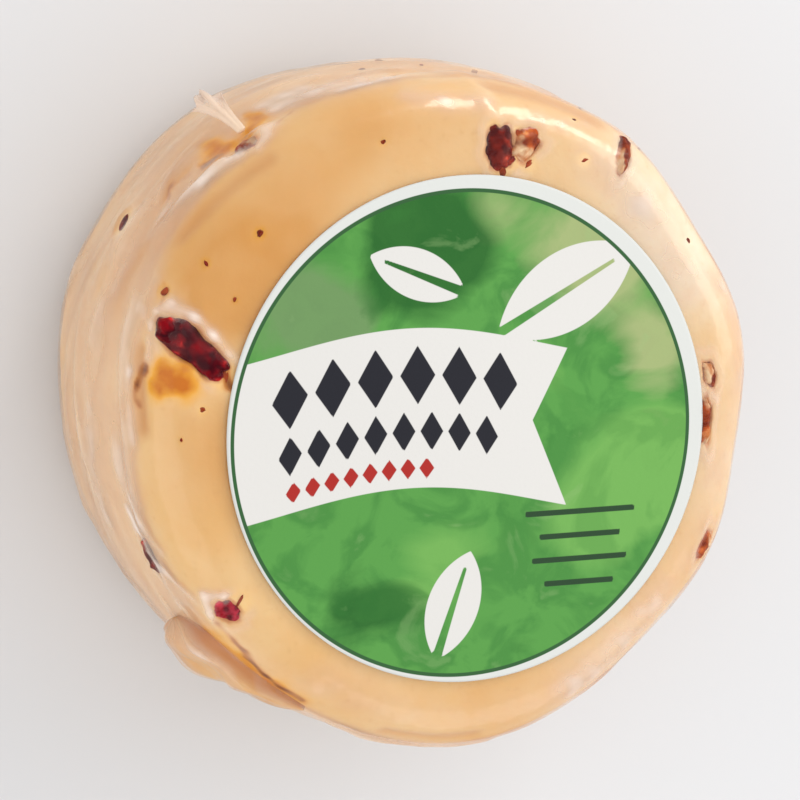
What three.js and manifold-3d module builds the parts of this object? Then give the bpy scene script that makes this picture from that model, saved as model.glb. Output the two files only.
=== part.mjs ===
// A small wheel of kashkaval with walnut pieces, wrapped tight in clear film. It lies on its base with
// the round label on top. Millimetres and degrees, +Z up, +X to the right of the label and +Y to its
// top. An azimuth is measured round the wheel from +X towards +Y. A level is measured along the
// outside of the wheel, from the edge of the base flat up the wall and over the shoulder to the face.

import * as THREE from 'three';
import { mergeVertices } from 'three/addons/utils/BufferGeometryUtils.js';
import Module from 'manifold-3d';

const wasm = await Module();
wasm.setup();

// ---- driving dimensions ----

const WHEEL_RADIUS = 52.5;
const WHEEL_HEIGHT = 57;
const LOWER_SHOULDER = 11.5; // radius of the round edge above the base
const UPPER_SHOULDER = 9; // radius of the round edge below the face
const WALL_SWELL = 1.45; // how far the wall bulges at mid height
const FACE_DOME = 1.5; // rise of the face from its rim to its centre
const GAP = 0.3; // clearance between neighbouring pieces

const LABEL_RADIUS = 40;
const LABEL_THICKNESS = 0.3;
const LABEL_CENTRE = new THREE.Vector2(1.35, -2.4);

// The wheel was pressed by hand in a cloth and is not round: waves added to its radius.
const OUTLINE_WAVES = [
  { count: 2, size: 1.0, crest: -69 },
  { count: 3, size: 0.57, crest: 29 },
  { count: 4, size: 0.2, crest: -6 },
  { count: 5, size: 0.2, crest: -12 },
  { count: 7, size: 0.28, crest: 16 },
  { count: 8, size: 0.2, crest: 14 },
  { count: 9, size: 0.18, crest: 9 },
  { count: 10, size: 0.16, crest: 13 },
];

// Folds that stand up and creases that sink in where the film is gathered, each a soft ridge between
// two places [azimuth, level].
const FOLDS = [
  { from: [123, 55], to: [147, 49], width: 2.2, rise: 0.9 },
  { from: [127, 60], to: [146, 56], width: 1.7, rise: -0.5 },
  { from: [126, 50], to: [130, 53], width: 1.6, rise: -0.9 },
  { from: [131, 43], to: [152, 38], width: 2.6, rise: 0.55 },
  { from: [167, 56], to: [180, 57], width: 1.7, rise: -0.7 },
  { from: [164, 51], to: [182, 52], width: 1.9, rise: 0.45 },
  { from: [156, 58], to: [164, 63], width: 2.0, rise: 0.4 },
  { from: [186, 52], to: [212, 50], width: 2.0, rise: 0.5 },
  { from: [162, 30], to: [188, 32], width: 2.0, rise: 0.4 },
  { from: [170, 23], to: [198, 21], width: 1.8, rise: 0.35 },
  { from: [108, 40], to: [124, 37], width: 2.0, rise: 0.5 },
  { from: [92, 46], to: [112, 49], width: 2.0, rise: 0.5 },
  { from: [62, 57], to: [84, 56], width: 3.0, rise: -0.6 },
  { from: [86, 51], to: [84, 63], width: 1.8, rise: 0.5 },
  { from: [258, 58], to: [274, 59], width: 1.6, rise: -0.5 },
  { from: [255, 54], to: [277, 55], width: 1.8, rise: 0.4 },
  { from: [219, 55], to: [243, 58], width: 1.7, rise: -0.8 },
  { from: [214, 58], to: [240, 61], width: 1.8, rise: 0.4 },
];
// The side turned away has the same kind of folds, drawn from these ranges.
const FAR_FOLDS = {
  count: 16, azimuths: [-95, 88], levels: [20, 50], spans: [8, 18], leans: [-4, 4], width: 2.1, rise: 0.45,
};
// Levels between which the folds fade in above the base and out at the edge of the face.
const FOLD_FADE = { base: [2, 10], face: [-2, 0.5] };

// Walnut pieces that show at the surface: their place, their size along, across and into the cheese,
// and the turn of their long side from the way round the wheel towards the face.
const WALNUTS = [
  { azimuth: 166.6, level: 66.2, size: [14, 6.4, 6], turn: 52 },
  { azimuth: 81.6, level: 68.4, size: [7.2, 4.6, 5], turn: 100 },
  { azimuth: 74.4, level: 67.4, size: [6, 4.6, 4.6], turn: 70 },
  { azimuth: 54.4, level: 61.5, size: [8.4, 3, 4.4], turn: 96 },
  { azimuth: 5.8, level: 67.6, size: [5, 2.6, 4.4], turn: 10 },
  { azimuth: 355.8, level: 67.5, size: [8.6, 2.9, 4.6], turn: 4 },
  { azimuth: 331.2, level: 61.5, size: [6, 3, 4.4], turn: 8 },
  { azimuth: 205, level: 48, size: [7, 3.4, 4.6], turn: 4 },
  { azimuth: 217.4, level: 61, size: [4.8, 4.4, 4.6], turn: 40 },
  { azimuth: 127.4, level: 54.4, size: [5, 3, 4.4], turn: 150 },
];
// The side turned away has pieces of the same kind, drawn from these ranges.
const FAR_WALNUTS = {
  count: 6, azimuths: [-78, 96], levels: [16, 44], lengths: [6, 11], widths: [4, 5.5], depth: 5,
};
const WALNUT_PROUD = 0.6; // how far a piece stands out of the surface
const WALNUT_CRAGS = 0.16; // depth of its lobes against its size
const POCKET_GAP = 0.4; // growth of a pocket from the middle of its piece, which leaves the gap all round

// Film gathered into a bunch low on the wall, fat at one end and thin at the other.
const EAR = {
  azimuths: [218.8, 243],
  standoff: [6.9, 1],
  middleHeight: [36, 48.5],
  halfHeight: [9.5, 2.4],
  crumple: 0.1, // depth of its creases against its standoff
};

// Loose end of the film, a twisted strip that is narrow where it leaves the shoulder.
const TAIL = {
  azimuth: 125.5,
  rootHeight: 43.5,
  tipHeight: 35.5,
  reach: 6, // of the tip out of the root
  bow: 1.6, // of its middle away from the straight line
  rootHalf: 0.8,
  tipHalf: 2.2,
  flatten: 0.42, // thickness of the strip against its width
  twist: 50,
};

const WHEEL_SIDES = 98;

// ---- shape of the wheel's outside

const radians = THREE.MathUtils.degToRad;
const LOWER_ARC = (LOWER_SHOULDER * Math.PI) / 2;
const UPPER_ARC = (UPPER_SHOULDER * Math.PI) / 2;
const WALL_TOP = WHEEL_HEIGHT - FACE_DOME - UPPER_SHOULDER;
const WALL_LENGTH = WALL_TOP - LOWER_SHOULDER;
const FACE_RADIUS = WHEEL_RADIUS - UPPER_SHOULDER;
const BASE_RADIUS = WHEEL_RADIUS - LOWER_SHOULDER;
const FACE_LEVEL = LOWER_ARC + WALL_LENGTH + UPPER_ARC;

/** Level of a height on the wall. */
const levelOnWall = (height) => LOWER_ARC + height - LOWER_SHOULDER;

/** Height of the bare face at a distance from the wheel's axis. */
function faceHeight(distance) {
  return WHEEL_HEIGHT - FACE_DOME * Math.min(1, distance / FACE_RADIUS) ** 2;
}

/** One point of the round wheel's section at a level: its radius and height, and its normal. */
function sectionAt(level) {
  if (level <= LOWER_ARC) {
    const angle = Math.max(0, level) / LOWER_SHOULDER - Math.PI / 2;
    return {
      radius: BASE_RADIUS + LOWER_SHOULDER * Math.cos(angle) + Math.min(0, level),
      height: LOWER_SHOULDER * (1 + Math.sin(angle)),
      normal: new THREE.Vector2(Math.cos(angle), Math.sin(angle)),
    };
  }
  if (level <= LOWER_ARC + WALL_LENGTH) {
    const share = (level - LOWER_ARC) / WALL_LENGTH;
    return {
      radius: WHEEL_RADIUS + WALL_SWELL * 4 * share * (1 - share),
      height: LOWER_SHOULDER + share * WALL_LENGTH,
      normal: new THREE.Vector2(1, 0),
    };
  }
  if (level <= FACE_LEVEL) {
    const angle = (level - LOWER_ARC - WALL_LENGTH) / UPPER_SHOULDER;
    return {
      radius: FACE_RADIUS + UPPER_SHOULDER * Math.cos(angle),
      height: WALL_TOP + UPPER_SHOULDER * Math.sin(angle),
      normal: new THREE.Vector2(Math.cos(angle), Math.sin(angle)),
    };
  }
  const radius = Math.max(0, FACE_RADIUS - (level - FACE_LEVEL));
  return { radius, height: faceHeight(radius), normal: new THREE.Vector2(0, 1) };
}

/** How far the outline stands out of the round at an azimuth. */
function outlineAt(azimuth) {
  return OUTLINE_WAVES.reduce(
    (sum, wave) => sum + wave.size * Math.cos(wave.count * radians(azimuth - wave.crest)), 0);
}

/** A repeatable stream of numbers from 0 to 1, with a draw from a range. */
function randomStream(seed) {
  const modulus = 2147483647;
  let state = seed;
  const next = () => {
    state = (state * 16807) % modulus;
    return state / modulus;
  };
  return { next, between: ([low, high]) => low + (high - low) * next() };
}

/** Folds on the side turned away, spread round the wall by a seeded rule. */
function farFolds() {
  const random = randomStream(4711);
  const [first, last] = FAR_FOLDS.azimuths;
  return Array.from({ length: FAR_FOLDS.count }, (_, index) => {
    const azimuth = first + ((last - first) * (index + random.next())) / FAR_FOLDS.count;
    const level = random.between(FAR_FOLDS.levels);
    const span = random.between(FAR_FOLDS.spans);
    const lean = random.between(FAR_FOLDS.leans);
    const sign = index % 3 === 0 ? -1 : 1;
    return {
      from: [azimuth, level],
      to: [azimuth + span, level + lean],
      width: FAR_FOLDS.width,
      rise: sign * FAR_FOLDS.rise,
    };
  });
}

const ALL_FOLDS = [...FOLDS, ...farFolds()];

/** Distance in millimetres, on the unrolled wall, from a place to the line of a fold. */
function distanceToFold(azimuth, level, fold) {
  const alongWall = (degrees) => radians(degrees) * WHEEL_RADIUS;
  const turns = Math.round((azimuth - fold.from[0]) / 360);
  const place = new THREE.Vector3(alongWall(azimuth - 360 * turns), level, 0);
  const line = new THREE.Line3(
    new THREE.Vector3(alongWall(fold.from[0]), fold.from[1], 0),
    new THREE.Vector3(alongWall(fold.to[0]), fold.to[1], 0),
  );
  return line.closestPointToPoint(place, true, new THREE.Vector3()).distanceTo(place);
}

/** Height of the folds and creases at a place. The base and the face under the label stay smooth. */
function reliefAt(azimuth, level) {
  const { smoothstep } = THREE.MathUtils;
  const fade = smoothstep(level, ...FOLD_FADE.base)
    * (1 - smoothstep(level - FACE_LEVEL, ...FOLD_FADE.face));
  if (fade === 0) return 0;
  return fade * ALL_FOLDS.reduce((sum, fold) => {
    const distance = distanceToFold(azimuth, level, fold);
    return sum + fold.rise * Math.exp(-((distance / fold.width) ** 2));
  }, 0);
}

/** Place on the finished outside of the wheel, with its outward normal. */
function outsideAt(azimuth, level) {
  const section = sectionAt(level);
  const relief = reliefAt(azimuth, level);
  const fade = Math.min(1, section.radius / FACE_RADIUS);
  const reach = section.radius + fade * outlineAt(azimuth) + relief * section.normal.x;
  const along = new THREE.Vector3(Math.cos(radians(azimuth)), Math.sin(radians(azimuth)), 0);
  const point = along.clone().multiplyScalar(reach);
  point.z = section.height + relief * section.normal.y;
  const normal = along.clone().multiplyScalar(section.normal.x);
  normal.z = section.normal.y;
  return { point, normal, along };
}

// ---- tools for meshes

/** Moves every vertex of a geometry to where a function of its old place puts it. */
function reshape(geometry, place) {
  const position = geometry.attributes.position;
  const vertex = new THREE.Vector3();
  for (let index = 0; index < position.count; index += 1) {
    vertex.fromBufferAttribute(position, index);
    const moved = place(vertex, index);
    position.setXYZ(index, moved.x, moved.y, moved.z);
  }
  return geometry;
}

/** Joins equal vertices and drops triangles that have shrunk to a line, as at a pole. */
function closed(geometry) {
  geometry.deleteAttribute('normal');
  geometry.deleteAttribute('uv');
  const merged = mergeVertices(geometry, 1e-4);
  const corners = merged.index.array;
  const kept = [];
  for (let start = 0; start < corners.length; start += 3) {
    const [a, b, c] = [corners[start], corners[start + 1], corners[start + 2]];
    if (a !== b && b !== c && c !== a) kept.push(a, b, c);
  }
  merged.setIndex(kept);
  return merged;
}

/** The solid that a closed geometry bounds. */
function solidOf(geometry) {
  return new wasm.Manifold(new wasm.Mesh({
    numProp: 3,
    vertProperties: new Float32Array(geometry.attributes.position.array),
    triVerts: new Uint32Array(geometry.index.array),
  }));
}

/** The geometry of a solid's faces. */
function geometryOf(solid) {
  const mesh = solid.getMesh();
  const geometry = new THREE.BufferGeometry();
  geometry.setAttribute('position', new THREE.BufferAttribute(mesh.vertProperties, 3));
  geometry.setIndex(new THREE.BufferAttribute(mesh.triVerts, 1));
  return geometry;
}

/** A named mesh with its own material and flat-shaded normals ready for viewing. */
function piece(name, geometry, colour, roughness) {
  geometry.computeVertexNormals();
  const material = new THREE.MeshStandardMaterial({ color: colour, roughness, metalness: 0 });
  const mesh = new THREE.Mesh(geometry, material);
  mesh.name = name;
  return mesh;
}

// ---- walnut pieces

/** Walnut pieces on the side turned away, spread by a seeded rule. */
function farWalnuts() {
  const random = randomStream(90210);
  const [first, last] = FAR_WALNUTS.azimuths;
  return Array.from({ length: FAR_WALNUTS.count }, (_, index) => ({
    azimuth: first + ((last - first) * (index + random.between([0.2, 0.8]))) / FAR_WALNUTS.count,
    level: random.between(FAR_WALNUTS.levels),
    size: [random.between(FAR_WALNUTS.lengths), random.between(FAR_WALNUTS.widths), FAR_WALNUTS.depth],
    turn: random.between([0, 180]),
  }));
}

/** The lobed outside of one walnut piece grown by a clearance, set into the wheel at its place. */
function walnutGeometry(walnut, index, clearance) {
  const random = randomStream(7 + 31 * index);
  const shifts = Array.from({ length: 4 }, () => random.between([0, 2 * Math.PI]));
  const [long, wide, deep] = walnut.size;
  const { point, normal, along } = outsideAt(walnut.azimuth, walnut.level);
  const round = new THREE.Vector3(-along.y, along.x, 0);
  const upward = new THREE.Vector3().crossVectors(normal, round);
  const turn = radians(walnut.turn);
  const lengthwise = round.clone().multiplyScalar(Math.cos(turn)).addScaledVector(upward, Math.sin(turn));
  const crosswise = new THREE.Vector3().crossVectors(normal, lengthwise);
  const toPlace = new THREE.Matrix4().makeBasis(lengthwise, crosswise, normal)
    .setPosition(point.addScaledVector(normal, WALNUT_PROUD - deep / 2));

  return closed(reshape(new THREE.IcosahedronGeometry(1, 2), (vertex) => {
    const lobes = Math.sin(4 * vertex.x + shifts[0]) * Math.cos(3 * vertex.y + shifts[1])
      + 0.7 * Math.sin(6 * vertex.x + 4 * vertex.y + shifts[2])
      + 0.4 * Math.cos(5 * vertex.z + 5 * vertex.y + shifts[3]);
    const size = 1 + WALNUT_CRAGS * lobes * (1 - 0.8 * Math.abs(vertex.z));
    const placed = new THREE.Vector3(vertex.x * long, vertex.y * wide, vertex.z * deep)
      .multiplyScalar(0.5 * size);
    placed.setLength(placed.length() + clearance);
    return placed.applyMatrix4(toPlace);
  }));
}

const walnuts = [...WALNUTS, ...farWalnuts()];

// ---- the wheel

/** The wheel with its film drawn tight over it, and a pocket for each walnut piece. */
function wheelGeometry() {
  const steps = (from, to, count) =>
    Array.from({ length: count }, (_, index) => from + ((to - from) * index) / count);
  const levels = [
    ...steps(-BASE_RADIUS, 0, 2),
    ...steps(0, LOWER_ARC, 5),
    ...steps(LOWER_ARC, LOWER_ARC + WALL_LENGTH, 13),
    ...steps(LOWER_ARC + WALL_LENGTH, FACE_LEVEL, 7),
    ...steps(FACE_LEVEL, FACE_LEVEL + 5, 2),
    ...steps(FACE_LEVEL + 5, FACE_LEVEL + FACE_RADIUS, 3),
    FACE_LEVEL + FACE_RADIUS,
  ];
  const section = levels.map((level) => {
    const { radius, height } = sectionAt(level);
    return new THREE.Vector2(radius, height);
  });
  const lathe = new THREE.LatheGeometry(section, WHEEL_SIDES).rotateX(Math.PI / 2);
  const skin = closed(reshape(lathe, (vertex, index) => {
    if (Math.hypot(vertex.x, vertex.y) < 1e-3) return new THREE.Vector3(0, 0, vertex.z);
    const azimuth = THREE.MathUtils.radToDeg(Math.atan2(vertex.y, vertex.x));
    return outsideAt(azimuth, levels[index % levels.length]).point;
  }));
  const pockets = walnuts.map((walnut, index) => solidOf(walnutGeometry(walnut, index, POCKET_GAP)));
  return geometryOf(pockets.reduce((wheel, pocket) => wheel.subtract(pocket), solidOf(skin)));
}

// ---- the label

/** A thin disc that follows the dome of the face, just clear of it. */
function labelGeometry() {
  const rings = [0, 0.4, 0.75, 1].map((share) => share * LABEL_RADIUS);
  const section = [
    ...rings.map((radius) => new THREE.Vector2(radius, 0)),
    ...rings.toReversed().map((radius) => new THREE.Vector2(radius, LABEL_THICKNESS)),
  ];
  const disc = new THREE.LatheGeometry(section, 72).rotateX(Math.PI / 2);
  return closed(reshape(disc, (vertex) => {
    const x = vertex.x + LABEL_CENTRE.x;
    const y = vertex.y + LABEL_CENTRE.y;
    return new THREE.Vector3(x, y, faceHeight(Math.hypot(x, y)) + GAP + vertex.z);
  }));
}

// ---- the bunched film and its loose end

/** Film gathered low on the wall, a lobe that hugs the wall and thins out along it. */
function earGeometry() {
  const { lerp } = THREE.MathUtils;
  return closed(reshape(new THREE.SphereGeometry(1, 18, 12), (vertex) => {
    const share = (1 - vertex.x) / 2;
    const thinning = share ** 0.6;
    const roundness = Math.sqrt(Math.max(0, 1 - vertex.x ** 2));
    const crease = 1 + EAR.crumple * Math.sin(9 * share + 2 * vertex.z);
    const standoff = crease * lerp(...EAR.standoff, thinning);
    const height = lerp(...EAR.middleHeight, share) + lerp(...EAR.halfHeight, thinning) * vertex.z;
    const wall = outsideAt(lerp(...EAR.azimuths, share), levelOnWall(height));
    return wall.point.addScaledVector(wall.along, GAP + 0.5 * standoff * (vertex.y + roundness));
  }));
}

/** The loose end, a flattened spindle bent out and down from the shoulder. */
function tailGeometry() {
  const along = new THREE.Vector3(Math.cos(radians(TAIL.azimuth)), Math.sin(radians(TAIL.azimuth)), 0);
  const round = new THREE.Vector3(-along.y, along.x, 0);
  const root = outsideAt(TAIL.azimuth, levelOnWall(TAIL.rootHeight)).point
    .addScaledVector(along, GAP + 1.5 * TAIL.rootHalf);
  const tip = root.clone().addScaledVector(along, TAIL.reach);
  tip.z = TAIL.tipHeight;
  const bend = root.clone().lerp(tip, 0.5).addScaledVector(along, TAIL.bow);
  const path = new THREE.QuadraticBezierCurve3(root, bend, tip);

  return closed(reshape(new THREE.SphereGeometry(1, 10, 12), (vertex) => {
    const share = (1 - vertex.y) / 2;
    const half = THREE.MathUtils.lerp(TAIL.rootHalf, TAIL.tipHalf, share);
    const tangent = path.getTangent(share);
    const across = round.clone().applyAxisAngle(tangent, radians(TAIL.twist) * share);
    const through = new THREE.Vector3().crossVectors(tangent, across);
    return path.getPoint(share)
      .addScaledVector(across, half * vertex.x)
      .addScaledVector(through, TAIL.flatten * half * vertex.z);
  }));
}

// ---- the whole

const wheel = new THREE.Group();
wheel.add(piece('cheese_wheel', wheelGeometry(), 0xe9bd82, 0.35));
wheel.add(piece('label', labelGeometry(), 0x5f9a4c, 0.5));
wheel.add(piece('film_ear', earGeometry(), 0xe6b678, 0.25));
wheel.add(piece('film_tail', tailGeometry(), 0xf3e2cd, 0.25));
walnuts.forEach((walnut, index) => {
  const name = `walnut_${String(index + 1).padStart(2, '0')}`;
  wheel.add(piece(name, walnutGeometry(walnut, index, 0), 0x6e1f14, 0.55));
});

// The origin lies under the middle of the whole, on the surface it stands on.
const box = new THREE.Box3().setFromObject(wheel);
const middle = box.getCenter(new THREE.Vector3());
wheel.position.set(-middle.x, -middle.y, -box.min.z);

const group = new THREE.Group();
group.add(wheel);

export default group;
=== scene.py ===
"""A small wheel of kashkaval cheese with walnut pieces, wrapped tight in clear film, lying on a pale
floor with its round paper label up. Lengths are in millimetres from the wheel's axis and angles in
degrees until a mesh is made. An azimuth is measured round the wheel from +X towards +Y, and a level
along the outside, from the edge of the base flat up the wall and over the shoulder to the face."""

import math
from types import SimpleNamespace

import bpy
import numpy as np
from mathutils import Matrix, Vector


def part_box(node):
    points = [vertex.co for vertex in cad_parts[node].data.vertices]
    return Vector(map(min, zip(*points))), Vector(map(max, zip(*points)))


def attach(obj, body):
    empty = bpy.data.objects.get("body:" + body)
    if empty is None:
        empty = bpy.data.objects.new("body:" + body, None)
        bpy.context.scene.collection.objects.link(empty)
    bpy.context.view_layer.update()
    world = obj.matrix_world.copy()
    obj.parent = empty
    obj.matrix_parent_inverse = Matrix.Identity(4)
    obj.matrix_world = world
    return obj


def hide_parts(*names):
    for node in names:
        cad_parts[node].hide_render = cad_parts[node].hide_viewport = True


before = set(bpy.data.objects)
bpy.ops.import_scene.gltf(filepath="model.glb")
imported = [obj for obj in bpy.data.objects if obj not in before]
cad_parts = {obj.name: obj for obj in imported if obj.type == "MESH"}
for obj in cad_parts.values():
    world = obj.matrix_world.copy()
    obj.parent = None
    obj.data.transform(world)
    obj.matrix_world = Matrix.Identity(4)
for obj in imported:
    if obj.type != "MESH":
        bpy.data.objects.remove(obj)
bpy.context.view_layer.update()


# ---- the cheese ----
# A pressed wheel of yellow cheese. A cloth and a hand shaped it, so its outline is not quite round,
# and its oily skin is deeper amber in places. It dips round each walnut piece that breaks the surface.

MM = 0.001
WHEEL_RADIUS = 52.5
WHEEL_HEIGHT = 57.0
LOWER_SHOULDER = 11.5
UPPER_SHOULDER = 9.0
WALL_SWELL = 1.45
FACE_DOME = 1.5
# Waves of its outline: count round it, size, and azimuth of a crest.
OUTLINE_WAVES = (
    (2, 1.0, -69), (3, 0.57, 29), (4, 0.2, -6), (5, 0.2, -12),
    (7, 0.28, 16), (8, 0.2, 14), (9, 0.18, 9), (10, 0.16, 13),
)

LOWER_ARC = LOWER_SHOULDER * math.pi / 2
UPPER_ARC = UPPER_SHOULDER * math.pi / 2
WALL_TOP = WHEEL_HEIGHT - FACE_DOME - UPPER_SHOULDER
WALL_LENGTH = WALL_TOP - LOWER_SHOULDER
WALL_END = LOWER_ARC + WALL_LENGTH
FACE_RADIUS = WHEEL_RADIUS - UPPER_SHOULDER
BASE_RADIUS = WHEEL_RADIUS - LOWER_SHOULDER
FACE_LEVEL = WALL_END + UPPER_ARC

LABEL_CENTRE = np.array([1.35, -2.4])
WHEEL_AXIS = np.append(np.mean(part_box("label"), axis=0)[:2] / MM - LABEL_CENTRE, 0)


def face_height(distance):
    """Height of the face: its rim's plus a dome of (1 - (distance / face radius) ** 2) ** 2."""
    share = np.minimum(1, distance / FACE_RADIUS)
    return WHEEL_HEIGHT - FACE_DOME + FACE_DOME * (1 - share**2) ** 2


def wheel_section(level):
    """Radius, height and lean of the round wheel at a level. The base flat, a quarter circle, the wall
    with its swell of sine squared, a second quarter circle and the domed face follow one another."""
    foot = np.clip(level / LOWER_SHOULDER, 0, math.pi / 2)
    share = np.clip((level - LOWER_ARC) / WALL_LENGTH, 0, 1)
    top = np.clip((level - WALL_END) / UPPER_SHOULDER, 0, math.pi / 2)
    inward = np.clip(level - FACE_LEVEL, 0, FACE_RADIUS)
    radius = (
        BASE_RADIUS + np.minimum(level, 0) + LOWER_SHOULDER * np.sin(foot)
        + WALL_SWELL * np.sin(math.pi * share) ** 2
        - UPPER_SHOULDER * (1 - np.cos(top)) - inward
    )
    height = LOWER_SHOULDER * (1 - np.cos(foot)) + share * WALL_LENGTH + UPPER_SHOULDER * np.sin(top)
    height = height + face_height(FACE_RADIUS - inward) - face_height(FACE_RADIUS)
    return radius, height, foot + top - math.pi / 2


def spun(reach, turn, height):
    """Points at a reach from the axis, turned by an angle round it, and at a height."""
    return np.stack(np.broadcast_arrays(reach * np.cos(turn), reach * np.sin(turn), height), -1)


def wheel_outside(azimuth, level, relief=0.0):
    """Points on the wheel and the directions out of it. The section is turned to each azimuth, cosine
    waves that fade towards the axis are added to its radius, and relief is added along its normal."""
    radius, height, lean = wheel_section(level)
    turn = np.radians(azimuth)
    waves = sum(
        size * np.cos(count * (turn - math.radians(crest))) for count, size, crest in OUTLINE_WAVES)
    reach = radius + np.minimum(1, radius / FACE_RADIUS) * waves + relief * np.cos(lean)
    points = spun(reach, turn, height + relief * np.sin(lean))
    return points, spun(np.cos(lean), turn, np.sin(lean))


def ease(value, low, high):
    """Smooth step: 0 up to low, 1 from high on, and 3 t squared minus 2 t cubed between them."""
    share = np.clip((value - low) / (high - low), 0, 1)
    return share * share * (3 - 2 * share)


def even_draws(seed):
    """A repeatable stream of numbers from 0 to 1: the last state times 16807, modulo 2 ** 31 - 1."""
    modulus = 2147483647
    state = seed
    while True:
        state = state * 16807 % modulus
        yield state / modulus


def part_way(ends, share):
    """The value that lies a share of the way from the first of two ends to the second."""
    return ends[0] + (ends[1] - ends[0]) * share


def spread_round(seed, count, azimuths, within, *ranges):
    """Rows of drawn numbers, one row in each equal share of the azimuths. The first is an azimuth,
    drawn within a part of its share, and one from each of the ranges follows."""
    draws = even_draws(seed)
    rows = []
    for index in range(count):
        azimuth = part_way(azimuths, (index + part_way(within, next(draws))) / count)
        rows.append((azimuth, *(part_way(ends, next(draws)) for ends in ranges)))
    return rows


def bell(distance, width):
    """exp(-(distance / width) squared)."""
    return np.exp(-((distance / width) ** 2))


# Each fold of the film: azimuth and level of its two ends, its width and its rise. A crease sinks in.
NEAR_FOLDS = [
    (123, 55, 147, 49, 2.2, 0.9), (127, 60, 146, 56, 1.7, -0.5), (126, 50, 130, 53, 1.6, -0.9),
    (131, 43, 152, 38, 2.6, 0.55), (167, 56, 180, 57, 1.7, -0.7), (164, 51, 182, 52, 1.9, 0.45),
    (156, 58, 164, 63, 2, 0.4), (186, 52, 212, 50, 2, 0.5), (162, 30, 188, 32, 2, 0.4),
    (170, 23, 198, 21, 1.8, 0.35), (108, 40, 124, 37, 2, 0.5), (92, 46, 112, 49, 2, 0.5),
    (62, 57, 84, 56, 3, -0.6), (86, 51, 84, 63, 1.8, 0.5), (258, 58, 274, 59, 1.6, -0.5),
    (255, 54, 277, 55, 1.8, 0.4), (219, 55, 243, 58, 1.7, -0.1), (214, 58, 240, 61, 1.8, 0.4),
]
# Folds of the side turned away: seed, count, azimuths, the part of its share that each starts within,
# and the ranges of level, span and lean. Then their width and rise, and how many to each sunk one.
FAR_FOLDS = (4711, 16, (-95, 88), (0, 1), (20, 50), (8, 18), (-4, 4))
FAR_FOLD_WIDTH, FAR_FOLD_RISE, SUNK_EVERY = 2.1, 0.45, 3
ALL_FOLDS = NEAR_FOLDS + [
    (azimuth, level, azimuth + span, level + lean, FAR_FOLD_WIDTH,
     FAR_FOLD_RISE if index % SUNK_EVERY else -FAR_FOLD_RISE)
    for index, (azimuth, level, span, lean) in enumerate(spread_round(*FAR_FOLDS))]


def ridges(azimuth, level, folds):
    """Sum over folds of rise times the bell of the distance, on the unrolled wall, to the straight line
    between the fold's two ends."""
    total = np.zeros(np.broadcast_shapes(np.shape(azimuth), np.shape(level)))
    for azimuth_1, level_1, azimuth_2, level_2, width, rise in folds:
        around = azimuth - azimuth_1 - 360 * np.round((azimuth - azimuth_1) / 360)
        x = np.radians(around) * WHEEL_RADIUS
        y = level - level_1
        run = math.radians(azimuth_2 - azimuth_1) * WHEEL_RADIUS
        climb = level_2 - level_1
        share = np.clip((x * run + y * climb) / (run**2 + climb**2), 0, 1)
        total += rise * bell(np.hypot(x - share * run, y - share * climb), width)
    return total


def on_wall(level):
    """1 on the wall and the shoulder, fading to 0 on the base and on the face, which stay smooth."""
    return ease(level, 2, 10) * (1 - ease(level - FACE_LEVEL, -2, 0.5))


def folded(azimuth, level):
    """Relief of all the film's folds, which die out on the base and the face."""
    return on_wall(level) * ridges(azimuth, level, ALL_FOLDS)


# Each walnut piece: azimuth, level, its size along, across and into the cheese, the turn of its long
# side from the way round the wheel towards the face, its tone from dark maroon to orange brown, or
# below 0 towards raspberry, and how much of it shows, 1 unless curd closes over it or leaves it bare.
NEAR_WALNUTS = [
    (164.2, 65.8, 14, 6.4, 6, 63, 0, 1), (80.9, 68.7, 8.1, 5.8, 5, 100, 0.15, 1),
    (75.4, 67.5, 6, 4.7, 4.6, 70, 0.8, 1), (54.4, 61.5, 8.4, 3, 4.4, 96, 0.6, 0.9),
    (5.8, 67.6, 5, 2.6, 4.4, 10, 0.7, 1), (355.8, 67.5, 8.6, 2.9, 4.6, 4, 0.7, 1),
    (331.2, 61.5, 6, 3, 4.4, 8, 1, 0.9), (205, 48, 7, 3.4, 4.6, 4, 0.15, 1.06),
    (217.4, 61, 4.8, 4.4, 4.6, 40, -1, 0.95), (127.4, 54.4, 5, 3, 4.4, 150, 0.5, 0.52),
]
# Pieces of the side turned away: seed, count, azimuths, the part of its share that each keeps within,
# and the ranges of level, length, width and turn. Then their depth and their tones.
FAR_WALNUTS = (90210, 6, (-78, 96), (0.2, 0.8), (16, 44), (6, 11), (4, 5.5), (0, 180))
FAR_WALNUT_DEPTH = 5
FAR_WALNUT_TONES = (0, 0.2, 0.4, 0.6, 0, 0.2)
ALL_WALNUTS = NEAR_WALNUTS + [
    (azimuth, level, long, wide, FAR_WALNUT_DEPTH, turn, tone, 1)
    for (azimuth, level, long, wide, turn), tone in zip(spread_round(*FAR_WALNUTS), FAR_WALNUT_TONES)]
WALNUT_PROUD = 0.6
SHOWING_LIFT = 1.5  # how much prouder a piece stands for each part more of it that shows
WALNUT_LOBES = 0.06  # depth of its lobes against its size
RIM_SHARE = 0.88
RIM_SQUARENESS = 2.5  # power of the oval, which is 2 for a plain one
RIM_WAVES = ((5, 0.05), (9, 0.028), (14, 0.014))  # count round the rim and depth


def laid_down(azimuth, level, turn, relief=0.0):
    """A place on the folded outside, and three directions there: out of the wheel, from the way round
    the wheel by a turn towards the way up it, and square to both."""
    place, outward = wheel_outside(azimuth, level, folded(azimuth, level) + relief)
    around = spun(1, np.radians(azimuth) + math.pi / 2, 0)
    turn = np.radians(turn)[..., None]
    lengthwise = np.cos(turn) * around + np.sin(turn) * np.cross(outward, around)
    return place, outward, lengthwise, np.cross(outward, lengthwise)


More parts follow.
